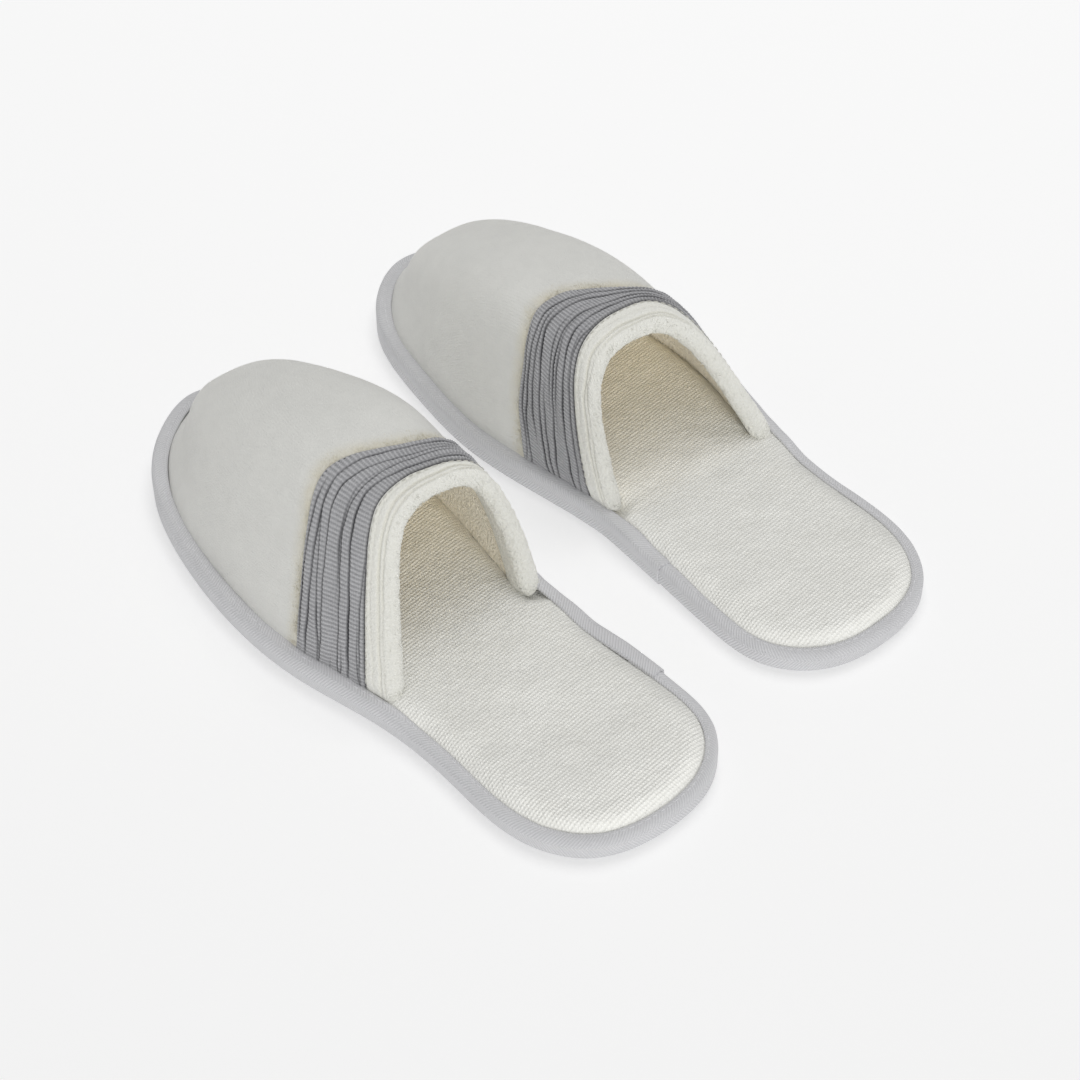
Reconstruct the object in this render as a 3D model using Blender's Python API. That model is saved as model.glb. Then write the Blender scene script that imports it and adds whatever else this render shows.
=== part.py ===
"""A pair of closed-toe spa slippers, each one sewn up from layered soles, a padded vamp,
a pleated knit band, a rolled terry collar and a binding tape around the edge.

Frame, in metres: +X from the left slipper to the right one, +Y towards the toes, +Z up.
The floor is z = 0 and the origin lies on it, under the middle of the pair.
Every shape is worked out for a right slipper with its heel at (0, 0), its outer side
towards +X and its toe towards +Y.  The left slipper is its mirror image.
"""
import math

import bmesh
import bpy
import numpy as np

MM = 0.001

# Driving dimensions of one slipper
LENGTH = 277 * MM
OUTLINE_MM = (
    (0, 0), (28, 8), (40, 25), (43, 65), (45.5, 100), (54, 138), (56, 172), (51, 212),
    (37, 250), (18, 269.5), (0, 277), (-18, 270), (-34, 252), (-45, 214),
    (-48.7, 178), (-45, 143), (-40.3, 108), (-43.5, 45), (-41, 22), (-27, 6),
)
GAP = 0.3 * MM                 # clearance kept between touching pieces

# Sole stack: floor, outsole, foam, insole, and the lining and vamp margins at the front
TREAD_STEP = 1.4 * MM          # the outsole's rim is this far above the floor
OUTSOLE_TOP = 3.0 * MM
FOAM_TOP = 6.5 * MM
INSOLE_RIM_TOP = 7.6 * MM
INSOLE_CROWN = 10.3 * MM
INSOLE_SHOULDER = (2.5 * MM, 9.6 * MM)     # in from the crown's foot, and its height
INSOLE_SLOPE = 7 * MM          # from the crown's foot to its flat middle
LINING_MARGIN = (7.9 * MM, 8.6 * MM)
VAMP_MARGIN = (8.9 * MM, 9.7 * MM)

# Binding tape, a folded strip around the sole's edge
TAPE = 0.9 * MM                # thickness
TAPE_FLANGE = 4.6 * MM         # width of the strip's upper and lower flanges
TAPE_FLOOR = 0.2 * MM          # the lower flange hangs this far above the floor
TAPE_RISE_Y = (82 * MM, 97 * MM)   # here the tape climbs over the vamp's margin
LAP_Y = {"left": 50 * MM, "right": 76 * MM}   # where the tape's ends overlap
LAP_SECTIONS = 3               # sections of the tape that lie over its other end

# Vamp: a vaulted cover, z = height * (1 - |t| ** ARCH_POWER) across each section
CREASE = 5.4 * MM              # the vault starts this far in from the outline
MARGIN_EDGE = 2.3 * MM         # the layers' sewn margins end this far in
ARCH_POWER = 3.2
CREST_MM = (91.5, 2.5, -46)    # crest height = sqrt(u) * (a + b * u + c * u * u), u from the toe
CREST_SHIFT = -12 * MM         # the instep's ridge leans towards the inner side
THROAT_Y = (107 * MM, 133.3 * MM)    # edge of the vamp at the sole and at the crest
SIDE_LEAN = -4.3 * MM          # lines across the instep start further back on the outer side
BACK_Y = 100 * MM              # here u is 1
EDGE_SWEEP = 1.1               # how evenly the throat's lines rise from their ends
VAMP = 1.0 * MM                # thickness of the outer velour
INTERLINING = 1.2 * MM
LINING = 1.2 * MM
LAYERS = VAMP + INTERLINING + LINING + 2 * GAP     # from the vamp's face to the lining's

# Collar and band
COLLAR = 2.6 * MM              # thickness of its outer flap
COLLAR_INNER = 1.5 * MM        # thickness of its inner flap
LIP = 3.6 * MM                 # the rolled lip stands this far behind the throat's edge
LIP_SHOULDER = (0.7, 0.4)      # corner of the roll, back and in, as shares of LIP
COLLAR_FRONT_Y = (115 * MM, 139 * MM)
COLLAR_TUCK = 9 * MM           # how far the collar reaches inside the vamp
BAND_FRONT_Y = (148 * MM, 168 * MM)
BAND_SWEEP = 1.3
BAND_DIP = -11 * MM            # the knit gathers narrower at the crest
BAND_DIP_POWER = 10            # and only close to the crest
BAND = 1.0 * MM
PLEAT_RISE = 0.9 * MM
PLEATS = 6
TAPE_SEAM = 2.8 * MM           # the tape's seam runs this far out from its inner edge
COLLAR_SEAM = 1.6 * MM         # the collar's seam runs this far in from its front edge
THREAD_RADIUS = 0.35 * MM

# Placing the pair
HALF_SPACING = 59 * MM         # each slipper's middle line from the middle of the pair
HALF_STAGGER = 6.2 * MM        # the right slipper stands this far ahead, the left behind

# Fineness of the faceted surfaces
CURVE_SAMPLES = 1440
SOLE_STATIONS = 54
TURN_WEIGHT = 25 * MM          # draws stations towards the tight curves
FIRST_ANGLE = math.radians(8.5)    # lowest section angle that stays above the tape
ARCH_STATIONS = 14
TOE_STATIONS = 6                # from the band to the toe
THREAD_SIDES = 4
SHARP_ANGLE = math.radians(40)


def closed_curve(points, samples):
    """Points on the periodic cubic spline through the given points."""
    knots = np.array(points, float)
    count = len(knots)
    after = np.roll(knots, -1, axis=0)
    spans = np.linalg.norm(after - knots, axis=1)
    matrix = np.zeros((count, count))
    slopes = (after - knots) / spans[:, None]
    for i in range(count):
        matrix[i, i - 1] += spans[i - 1]
        matrix[i, i] += 2 * (spans[i - 1] + spans[i])
        matrix[i, (i + 1) % count] += spans[i]
    bend = np.linalg.solve(matrix, 6 * (slopes - np.roll(slopes, 1, axis=0)))
    starts = np.concatenate([[0], np.cumsum(spans)])
    along = np.linspace(0, starts[-1], samples, endpoint=False)
    index = np.searchsorted(starts, along, side="right") - 1
    span = spans[index][:, None]
    run = along[:, None] - starts[index][:, None]
    rest = span - run
    bend_after = np.roll(bend, -1, axis=0)
    cubic = (bend[index] * rest ** 3 + bend_after[index] * run ** 3) / (6 * span)
    near = (knots[index] / span - bend[index] * span / 6) * rest
    far = (after[index] / span - bend_after[index] * span / 6) * run
    return cubic + near + far


def inward_normals(curve):
    """Unit normals that point into an anticlockwise closed curve."""
    along = np.roll(curve, -1, axis=0) - np.roll(curve, 1, axis=0)
    along /= np.linalg.norm(along, axis=1)[:, None]
    return np.column_stack([-along[:, 1], along[:, 0]])


OUTLINE = closed_curve(OUTLINE_MM, CURVE_SAMPLES) * MM
INWARD = inward_normals(OUTLINE)
TOE_SAMPLE = int(OUTLINE[:, 1].argmax())


def sole_stations():
    """Samples of the outline where the sole pieces have their corners, from the heel round.

    They lie closer together where the outline turns tightly.
    """
    step = np.linalg.norm(np.roll(OUTLINE, -1, axis=0) - OUTLINE, axis=1)
    turn = np.linalg.norm(np.roll(INWARD, -1, axis=0) - INWARD, axis=1)
    weight = np.concatenate([[0], np.cumsum(step + TURN_WEIGHT * turn)])
    wanted = np.linspace(0, weight[-1], SOLE_STATIONS, endpoint=False)
    return np.searchsorted(weight, wanted)


STATIONS = sole_stations()


def smooth_step(value, low, high):
    share = np.clip((value - low) / (high - low), 0, 1)
    return share * share * (3 - 2 * share)


def edge_point(sample, inset, z):
    """The point over one sample of the outline, moved in by inset, at height z."""
    x, y = OUTLINE[sample] + INWARD[sample] * inset
    return (x, y, z)


def side_point(y, inset, side):
    """Sample of the outline, as a fraction, whose inset point has this y on one side."""
    curve = OUTLINE + INWARD * inset
    if side > 0:
        samples = np.arange(CURVE_SAMPLES // 8, TOE_SAMPLE + 1)
    else:
        samples = np.arange(CURVE_SAMPLES * 7 // 8, TOE_SAMPLE - 1, -1)
    return float(np.interp(y, curve[samples, 1], samples))


def outline_at(sample, inset):
    """The inset outline's point at a fractional sample."""
    low = int(sample)
    share = sample - low
    high = (low + 1) % CURVE_SAMPLES
    point = OUTLINE[low] * (1 - share) + OUTLINE[high] * share
    normal = INWARD[low] * (1 - share) + INWARD[high] * share
    return point + normal * inset


# ---- The vault of the vamp ----

ANGLES = [0.0, *np.linspace(FIRST_ANGLE, math.pi - FIRST_ANGLE, ARCH_STATIONS), math.pi]
COLLAR_ANGLES = ANGLES[1:-1]


def rise(angle):
    """Share of the full height at an angle across a section, 0 at the sole, 1 at the crest."""
    return 1 - abs(math.cos(angle)) ** ARCH_POWER


def vault_height(y, toe_y):
    """Height of the vault's crest above its foot, which grows from the toe backwards."""
    u = max(toe_y - y, 0) / (LENGTH - CREASE - BACK_Y)
    flat, linear, square = CREST_MM
    return math.sqrt(u) * (flat + linear * u + square * u * u) * MM


def throat_line(angle, ends, power=EDGE_SWEEP):
    """y of a line across the instep, from its y at the sole and its y at the crest."""
    start = ends[0] + SIDE_LEAN * math.cos(angle)
    return start + (ends[1] - ends[0]) * rise(angle) ** power


def vault_point(angle, y, inset, foot_z):
    """A point on the vault's surface, moved inwards by inset."""
    toe_y = LENGTH - CREASE - inset
    outer = outline_at(side_point(y, CREASE + inset, 1), CREASE + inset)
    inner = outline_at(side_point(y, CREASE + inset, -1), CREASE + inset)
    middle = (outer + inner) / 2
    half = (outer - inner) / 2
    u = max(toe_y - y, 0) / (toe_y - BACK_Y)
    drop = inset - (VAMP_MARGIN[1] - foot_z)
    full = vault_height(BACK_Y + THROAT_Y[1] - THROAT_Y[0], LENGTH - CREASE)
    height = vault_height(y, toe_y) * (1 - drop / full)
    x = middle[0] + half[0] * math.cos(angle) + CREST_SHIFT * rise(angle) * u
    return (x, y, foot_z + height * rise(angle))


def throat_edge(angle):
    return throat_line(angle, THROAT_Y)


def collar_front(angle):
    return throat_line(angle, COLLAR_FRONT_Y)


def band_front(angle):
    dip = BAND_DIP * math.sin(angle) ** BAND_DIP_POWER
    return throat_line(angle, BAND_FRONT_Y, BAND_SWEEP) + dip


def vault_columns(angle, inset):
    """The y values of one row of the vault's surface, from the throat's edge to the toe."""
    toe_y = LENGTH - CREASE - inset
    edge = throat_edge(angle)
    back = collar_front(angle)
    front = band_front(angle)
    shares = [1 - (1 - j / TOE_STATIONS) ** 2 for j in range(TOE_STATIONS)]
    toe_part = [front + (toe_y - front) * share for share in shares]
    return [edge, edge + COLLAR_TUCK, back, (back + front) / 2] + toe_part


def vault_rows(inset, foot_z, margin):
    """Rows of points over the vault, from the outer side to the inner one.

    Each row ends in its point at the toe.  With a margin the first and last rows lie flat
    on the sole's rim, outside the vault's foot.
    """
    toe = outline_at(TOE_SAMPLE, CREASE + inset)
    rows = []
    for angle in ANGLES:
        row = [vault_point(angle, y, inset, foot_z) for y in vault_columns(angle, inset)]
        rows.append(row + [(toe[0], toe[1], foot_z)])
    if margin:
        rows.insert(0, margin_row(inset, foot_z, 1))
        rows.append(margin_row(inset, foot_z, -1))
    return rows


def margin_row(inset, foot_z, side):
    """The outer edge of a layer's sewn margin on one side, with its point at the toe."""
    samples = [side_point(y, CREASE + inset, side) for y in vault_columns(0.0, inset)]
    samples.append(TOE_SAMPLE)
    return [(*outline_at(sample, MARGIN_EDGE), foot_z) for sample in samples]


# ---- Turning points into closed solids ----

def material(name, color, roughness):
    made = bpy.data.materials.get(name)
    if made is None:
        made = bpy.data.materials.new(name)
        made.use_nodes = True
        shader = made.node_tree.nodes["Principled BSDF"]
        shader.inputs["Base Color"].default_value = (*color, 1.0)
        shader.inputs["Roughness"].default_value = roughness
        shader.inputs["Metallic"].default_value = 0.0
    return made


def finish_solid(bm, slipper, name, look):
    """Turn a bmesh into a named object of one slipper, with its faces pointing out."""
    bmesh.ops.recalc_face_normals(bm, faces=bm.faces)
    full_name = f"{slipper['side']}_{name}"
    mesh = bpy.data.meshes.new(full_name)
    bm.to_mesh(mesh)
    bm.free()
    mesh.shade_smooth()
    mesh.set_sharp_from_angle(angle=SHARP_ANGLE)
    mesh.materials.append(look)
    made = bpy.data.objects.new(full_name, mesh)
    made.parent = slipper["empty"]
    bpy.context.scene.collection.objects.link(made)


def place(slipper, point):
    """From the right slipper's own axes to the axes of the slipper's empty."""
    x, y, z = point
    return (x * slipper["mirror"], y - LENGTH / 2, z)


def loft(slipper, name, look, rings, closed=False):
    """Skin a row of equal rings, with an end cap on each end unless the row is closed."""
    bm = bmesh.new()
    loops = [[bm.verts.new(place(slipper, point)) for point in ring] for ring in rings]
    pairs = list(zip(loops, loops[1:]))
    if closed:
        pairs.append((loops[-1], loops[0]))
    for here, there in pairs:
        for k in range(len(here)):
            after = (k + 1) % len(here)
            bm.faces.new((here[k], here[after], there[after], there[k]))
    if not closed:
        bm.faces.new(loops[0])
        bm.faces.new(loops[-1])
    finish_solid(bm, slipper, name, look)


def shell(slipper, name, look, outer, inner):
    """A curved sheet with thickness, whose rows run together in points at the toe."""
    bm = bmesh.new()
    skins = []
    for rows in (outer, inner):
        toes = {}
        skin = []
        for row in rows:
            if row[-1] not in toes:
                toes[row[-1]] = bm.verts.new(place(slipper, row[-1]))
            made = [bm.verts.new(place(slipper, point)) for point in row[:-1]]
            skin.append(made + [toes[row[-1]]])
        for here, there in zip(skin, skin[1:]):
            for k in range(len(here) - 1):
                corners = (here[k], here[k + 1], there[k + 1], there[k])
                bm.faces.new(tuple(dict.fromkeys(corners)))
        skins.append(skin)
    top, bottom = skins
    for row in (0, -1):
        for k in range(len(top[row]) - 1):
            bm.faces.new((top[row][k], top[row][k + 1], bottom[row][k + 1], bottom[row][k]))
    for i in range(len(top) - 1):
        bm.faces.new((top[i][0], top[i + 1][0], bottom[i + 1][0], bottom[i][0]))
    finish_solid(bm, slipper, name, look)


# ---- Sole ----

def sole_ring(inset, z):
    """A ring around the sole; inset may differ from station to station."""
    insets = np.broadcast_to(inset, len(STATIONS))
    return [edge_point(sample, i, z) for sample, i in zip(STATIONS, insets)]


def make_outsole(slipper):
    look = material("outsole_foam", (0.86, 0.86, 0.84), 0.8)
    tread_inset = TAPE_FLANGE + GAP
    rim_inset = TAPE + GAP
    rings = [
        sole_ring(tread_inset, 0),
        sole_ring(tread_inset, TREAD_STEP),
        sole_ring(rim_inset, TREAD_STEP),
        sole_ring(rim_inset, OUTSOLE_TOP),
    ]
    loft(slipper, "outsole", look, rings)


def make_midsole(slipper):
    look = material("midsole_foam", (0.88, 0.87, 0.82), 0.9)
    rings = [sole_ring(TAPE + GAP, z) for z in (OUTSOLE_TOP + GAP, FOAM_TOP)]
    loft(slipper, "midsole", look, rings)


def make_insole(slipper):
    """A terry-covered pad: a thin sewn rim and a crowned middle."""
    look = material("insole_terry", (0.84, 0.82, 0.76), 0.95)
    front = smooth_step(OUTLINE[STATIONS, 1], *TAPE_RISE_Y)
    under_vamp = CREASE + LAYERS + GAP
    crown = TAPE_FLANGE + GAP + (under_vamp - TAPE_FLANGE) * front
    shoulder, shoulder_z = INSOLE_SHOULDER
    rings = [
        sole_ring(TAPE + GAP, FOAM_TOP + GAP),
        sole_ring(TAPE + GAP, INSOLE_RIM_TOP),
        sole_ring(crown, INSOLE_RIM_TOP),
        sole_ring(crown + shoulder, shoulder_z),
        sole_ring(crown + INSOLE_SLOPE, INSOLE_CROWN),
    ]
    loft(slipper, "insole", look, rings)


def tape_top(y):
    """Top of the tape's upper flange, higher where the vamp's margin is sewn in."""
    low = INSOLE_RIM_TOP + GAP + TAPE
    high = VAMP_MARGIN[1] + GAP + TAPE
    return low + (high - low) * smooth_step(y, *TAPE_RISE_Y)


def lap_start(slipper):
    """Index of the station on the inner side where the tape's ends overlap."""
    y = OUTLINE[STATIONS, 1]
    inner = OUTLINE[STATIONS, 0] < 0
    distance = np.abs(y - LAP_Y[slipper["side"]]) + np.where(inner, 0, LENGTH)
    return int(distance.argmin())


def tape_section(sample, lifted):
    """One C-shaped section of the tape.  A lifted one lies over the tape's other end."""
    lift = TAPE + GAP
    top = tape_top(OUTLINE[sample, 1]) + lifted * lift
    wall = -lifted * lift
    lower_reach = wall + TAPE if lifted else TAPE_FLANGE
    lower_top = TAPE_FLOOR + (TAPE / 2 if lifted else TAPE)
    profile = [
        (lower_reach, TAPE_FLOOR),
        (wall, TAPE_FLOOR),
        (wall, top),
        (TAPE_FLANGE, top),
        (TAPE_FLANGE, top - TAPE),
        (wall + TAPE, top - TAPE),
        (wall + TAPE, TAPE_FLOOR + TAPE),
        (lower_reach, lower_top),
    ]
    return [edge_point(sample, inset, z) for inset, z in profile]


def make_binding_tape(slipper):
    look = material("binding_tape", (0.69, 0.69, 0.71), 0.85)
    start = lap_start(slipper)
    count = SOLE_STATIONS + LAP_SECTIONS - 1
    order = [STATIONS[(start + i) % SOLE_STATIONS] for i in range(count)]
    sections = [tape_section(sample, 0) for sample in order[:-LAP_SECTIONS]]
    sections += [tape_section(sample, 1) for sample in order[-LAP_SECTIONS:]]
    loft(slipper, "binding_tape", look, sections)


def tube_ring(centre, across, radius):
    """A ring of a thread around its centre; across is level and square to the thread."""
    ring = []
    for k in range(THREAD_SIDES):
        turn = math.tau * (k + 0.5) / THREAD_SIDES
        side = radius * math.cos(turn)
        up = radius * math.sin(turn)
        ring.append((centre[0] + across[0] * side, centre[1] + across[1] * side, centre[2] + up))
    return ring


def thread_material():
    return material("sewing_thread", (0.78, 0.78, 0.79), 0.7)


def make_binding_thread(slipper):
    look = thread_material()
    start = lap_start(slipper)
    inset = TAPE_FLANGE - TAPE_SEAM
    rings = []
    for i, sample in enumerate(STATIONS):
        over_lap = (i - start + 1) % SOLE_STATIONS < LAP_SECTIONS
        z = tape_top(OUTLINE[sample, 1]) + GAP + THREAD_RADIUS + over_lap * (TAPE + GAP)
        rings.append(tube_ring(edge_point(sample, inset, z), INWARD[sample], THREAD_RADIUS))
    loft(slipper, "binding_thread", look, rings, closed=True)


# ---- Vamp layers ----

def make_vault_layer(slipper, name, look, depth, thickness, feet, margin=True):
    """One layer of the vamp: feet are the heights of its inner and outer faces' edges."""
    outer = vault_rows(depth, feet[1], margin)
    inner = vault_rows(depth + thickness, feet[0], margin)
    shell(slipper, name, look, outer, inner)


def make_vamp(slipper):
    look = material("vamp_velour", (0.8, 0.8, 0.77), 0.95)
    make_vault_layer(slipper, "vamp", look, 0.0, VAMP, VAMP_MARGIN)


def make_interlining(slipper):
    look = material("interlining_foam", (0.85, 0.84, 0.8), 0.95)
    foot = LINING_MARGIN[1] + GAP
    make_vault_layer(slipper, "interlining", look, VAMP + GAP, INTERLINING, (foot, foot), False)


def make_lining(slipper):
    look = material("lining_terry", (0.83, 0.8, 0.72), 0.95)
    depth = VAMP + INTERLINING + 2 * GAP
    make_vault_layer(slipper, "lining", look, depth, LINING, LINING_MARGIN)


# ---- Collar, band and their seams ----

def vault_ring(angle, profile):
    """A closed section at one angle across the vault, from (y, inset) pairs.

    Its foot keeps level with the vamp's on the outside and with the lining's inside.
    """
    ring = []
    for y, inset in profile:
        foot_z = np.interp(inset, (0, LAYERS), (VAMP_MARGIN[1], LINING_MARGIN[0]))
        ring.append(vault_point(angle, y, inset, foot_z))
    return ring


def collar_profile(angle):
    """The collar folds over the throat's edge: outer flap, rolled lip and inner flap."""
    edge = throat_edge(angle)
    front = collar_front(angle)
    inside = LAYERS + GAP
    over = -GAP - COLLAR
    under = inside + COLLAR_INNER
    middle = (over + under) / 2
    back, turn = (share * LIP for share in LIP_SHOULDER)
    return [
        (front, over),
        (edge, over),
        (edge - back, over + turn),
        (edge - LIP, middle),
        (edge - back, under - turn),
        (edge, under),
        (edge + COLLAR_TUCK, under),
        (edge + COLLAR_TUCK, inside),
        (edge - GAP, inside),
        (edge - GAP, -GAP),
        (front, -GAP),
    ]


def make_collar(slipper):
    look = material("collar_terry", (0.9, 0.89, 0.84), 0.95)
    rings = [vault_ring(angle, collar_profile(angle)) for angle in COLLAR_ANGLES]
    loft(slipper, "collar", look, rings)


def band_profile(angle):
    """A strip of knit in pleats that run along it, from the collar towards the toe."""
    back = collar_front(angle) + GAP
    front = band_front(angle)
    steps = 2 * PLEATS
    ridges = []
    for k in range(steps + 1):
        y = back + (front - back) * k / steps
        ridges.append((y, -GAP - BAND - PLEAT_RISE * (k % 2)))
    under = [(front + (back - front) * k / PLEATS, -GAP) for k in range(PLEATS + 1)]
    return ridges + under


def make_band(slipper):
    look = material("band_knit", (0.3, 0.3, 0.32), 0.9)
    rings = [vault_ring(angle, band_profile(angle)) for angle in COLLAR_ANGLES]
    loft(slipper, "band", look, rings)


def make_seam_thread(slipper, name, line, surface_inset):
    """A thread that runs across the instep on a surface of the vault."""
    look = thread_material()
    low = surface_inset - GAP
    high = low - 2 * THREAD_RADIUS
    rings = []
    for angle in COLLAR_ANGLES[1:-1]:
        y = line(angle)
        profile = [
            (y - THREAD_RADIUS, low),
            (y - THREAD_RADIUS, high),
            (y + THREAD_RADIUS, high),
            (y + THREAD_RADIUS, low),
        ]
        rings.append(vault_ring(angle, profile))
    loft(slipper, name, look, rings)


def make_collar_thread(slipper):
    def line(angle):
        return collar_front(angle) - COLLAR_SEAM

    make_seam_thread(slipper, "collar_thread", line, -GAP - COLLAR)


def make_band_thread(slipper):
    def line(angle):
        return band_front(angle) - THREAD_RADIUS

    make_seam_thread(slipper, "band_thread", line, -GAP - BAND - PLEAT_RISE / 2)


MAKERS = (
    make_outsole, make_midsole, make_insole, make_binding_tape, make_binding_thread,
    make_vamp, make_interlining, make_lining, make_collar, make_band,
    make_collar_thread, make_band_thread,
)


def make_slipper(side, mirror, centre):
    empty = bpy.data.objects.new(f"{side}_slipper", None)
    empty.location = centre
    bpy.context.scene.collection.objects.link(empty)
    slipper = {"side": side, "mirror": mirror, "empty": empty}
    for maker in MAKERS:
        maker(slipper)


def main():
    for old in list(bpy.data.objects):
        bpy.data.objects.remove(old, do_unlink=True)
    make_slipper("left", -1, (-HALF_SPACING, -HALF_STAGGER, 0))
    make_slipper("right", 1, (HALF_SPACING, HALF_STAGGER, 0))


main()
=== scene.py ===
"""Looks for a pair of closed-toe spa slippers.

Every soft piece is worked out for a right slipper, in millimetres, with its heel at (0, 0), its
outer side towards +X and its toe towards +Y.  The frame's outsoles say where each slipper stands.
The left slipper is the mirror image of the right one, with creases of its own.
"""
import itertools
import math

import bmesh
import bpy
import numpy as np
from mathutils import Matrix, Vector


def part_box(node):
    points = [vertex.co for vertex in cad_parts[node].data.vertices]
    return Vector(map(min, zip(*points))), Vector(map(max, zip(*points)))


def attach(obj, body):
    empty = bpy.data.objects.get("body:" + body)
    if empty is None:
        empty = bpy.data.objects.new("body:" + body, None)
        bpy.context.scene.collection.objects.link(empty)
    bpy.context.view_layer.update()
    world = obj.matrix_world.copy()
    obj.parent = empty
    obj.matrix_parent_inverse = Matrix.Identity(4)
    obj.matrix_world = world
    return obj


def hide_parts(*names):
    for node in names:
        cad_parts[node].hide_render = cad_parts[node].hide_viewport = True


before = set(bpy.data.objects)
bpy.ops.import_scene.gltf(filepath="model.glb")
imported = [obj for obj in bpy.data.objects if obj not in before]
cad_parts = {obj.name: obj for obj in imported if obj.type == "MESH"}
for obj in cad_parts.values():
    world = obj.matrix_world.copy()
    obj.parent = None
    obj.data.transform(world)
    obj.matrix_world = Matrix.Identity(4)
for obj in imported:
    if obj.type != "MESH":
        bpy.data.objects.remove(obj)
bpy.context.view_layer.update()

MM = 0.001

# Driving dimensions of one slipper, in millimetres
LENGTH = 277
OUTLINE_POINTS = (
    (0, 0), (28, 8), (40, 25), (43, 65), (45.5, 100), (54, 138), (56, 172), (51, 212),
    (37, 250), (18, 269.5), (0, 277), (-18, 270), (-34, 252), (-45, 214),
    (-48.7, 178), (-45, 143), (-40.3, 108), (-43.5, 45), (-41, 22), (-27, 6),
)
SAMPLES = 1440  # points on the outline
GAP = 0.3  # between two layers
OUTSOLE_TOP = 3.0
FOAM_TOP = 6.5
INSOLE_RIM_TOP = 7.6
INSOLE_CROWN = 10.3
LINING_FOOT = 7.9
VAMP_FOOT = 9.7
TAPE = 0.9  # the tape's thickness
TAPE_FLANGE = 4.6
TAPE_FLOOR = 0.2
TAPE_RISE_Y = (82, 97)
TOE_TAPE_RISE = 1.6  # the tape stands a little higher and wider round the toe
TOE_TAPE_OUT = 0.7
TOE_TAPE_Y = (225, 272)
LAP = 12.0  # the tape's last stretch lies over its first one
LAP_Y = {"left": 50, "right": 76}
CREASE = 5.4  # inset of the crease where the toe cover rises from the sole
MARGIN_EDGE = 2.3
ARCH_POWER = 3.2
CREST = (91.5, 2.5, -46)
CREST_SHIFT = -12
THROAT_Y = (107, 133.3)
SIDE_LEAN = -4.3
BACK_Y = 100
EDGE_SWEEP = 1.1
VAMP = 1.0
INTERLINING = 1.2
LINING = 1.2
LAYERS = VAMP + INTERLINING + LINING + 2 * GAP
COLLAR_FRONT_Y = (115, 139)
COLLAR_TUCK = 9
ROLL = 4.1  # the collar's rolled lip: its radius
ROLL_DEPTH = 1.9  # and how far inside the vamp's outer face its middle lies
BAND_FRONT_Y = (148, 168)
BAND_SWEEP = 1.3
BAND_DIP = -11
BAND_DIP_POWER = 10
TOE_LEAN = 3.6  # how far the toe's wall leans back behind the tape
TOE_CENTRE = 215
FOOT_ANGLE = math.radians(3.5)  # collar and band begin this far up the vault
COVER_START_Y = (101, 109)  # the cover's layers begin here and hold the insole's edge down
ROW_PITCH = 1.35  # the terry's rows of loops
LOOP_PITCH = 1.2  # the loops along a row
ROW_SLOPE = 0.12  # the rows lie a little askew across the sole
RIB_PITCH = 1.5  # the band's ribs
DIMPLE_PITCH = 4.0  # the tread's dimples
ROW_SHARE = 0.866  # rows of a triangular grid, as a share of the pitch

# How the two slippers differ: how much the band pulls the instep's crest in, and how far the two
# seams lie from their even lines, as (angle in degrees, shift) pairs
SQUEEZE = {"left": 3.2, "right": 1.6}
COLLAR_SHIFT = {
    "left": ((0, 0), (45, -1), (65, 1), (88, 0), (98, -2.5), (112, -5), (130, -3), (155, 0),
             (180, 0)),
    "right": ((0, 0), (30, 2), (50, 4), (75, 5.5), (93, 5), (108, 2.6), (120, 1.4), (140, 0),
              (180, 0)),
}
BAND_SHIFT = {
    "left": ((0, -1.2), (45, -1.6), (62, 1.2), (80, 0.7), (90, -1.5), (98, -6), (108, -12),
             (120, -16), (135, -13), (155, -5), (180, 0)),
    "right": ((0, 0), (25, -5), (45, -10), (60, -12), (70, -9), (81, -1.5), (90, 3.7), (99, 5.5),
              (107, 3.8), (115, 2.2), (125, -1), (135, -2.3), (150, 0.8), (180, 0)),
}
EDGE_SHARE = 0.6  # the throat's edge follows this much of the collar seam's shift
TAPE_FULLNESS = {"left": 1.1, "right": 0.4}  # how much the tape swells at the inner side's waist
SLANT_TURN = {"left": 0.4, "right": 2.0}  # phase of the slant of the band's ribs
SEEDS = {"left": {"noise": 3, "creases": 11, "fringe": 5, "loops": 8},
         "right": {"noise": 4, "creases": 23, "fringe": 6, "loops": 9}}

SIDES = {"left": -1, "right": 1}
PIECES = []
# The loop near the end sets side, the slipper that is being sewn, and noise, its own Noise


# ---- Small helpers ----

def smooth_step(value, low, high):
    share = np.clip((value - low) / (high - low), 0, 1)
    return share * share * (3 - 2 * share)


def bump(value, centre, width):
    """A smooth hump, 1 at its centre and 0 one width away."""
    return smooth_step(1 - np.abs(value - centre) / width, 0, 1)


def unit(vectors):
    return vectors / (np.linalg.norm(vectors, axis=-1, keepdims=True) + 1e-9)


def run_along(points):
    """How far each point, or each point of a grid's rows, lies from the first one on the way."""
    steps = np.linalg.norm(np.diff(points, axis=0, prepend=points[:1]), axis=-1)
    return np.cumsum(steps, axis=0)


def read_grid(values, places, smooth=True):
    """Values between the points of a grid, at fractional places along its first axes.

    Past its last point the grid starts again.
    """
    lows = [np.floor(place).astype(int) for place in places]
    shares = [place - low for place, low in zip(places, lows)]
    if smooth:
        shares = [smooth_step(share, 0, 1) for share in shares]
    total = 0
    for corner in itertools.product((0, 1), repeat=len(lows)):
        weight = math.prod(np.abs(1 - step - share) for step, share in zip(corner, shares))
        if values.ndim > len(lows):
            weight = weight[..., None]
        index = [(low + step) % size for low, step, size in zip(lows, corner, values.shape)]
        total = total + weight * values[tuple(index)]
    return total


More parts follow.
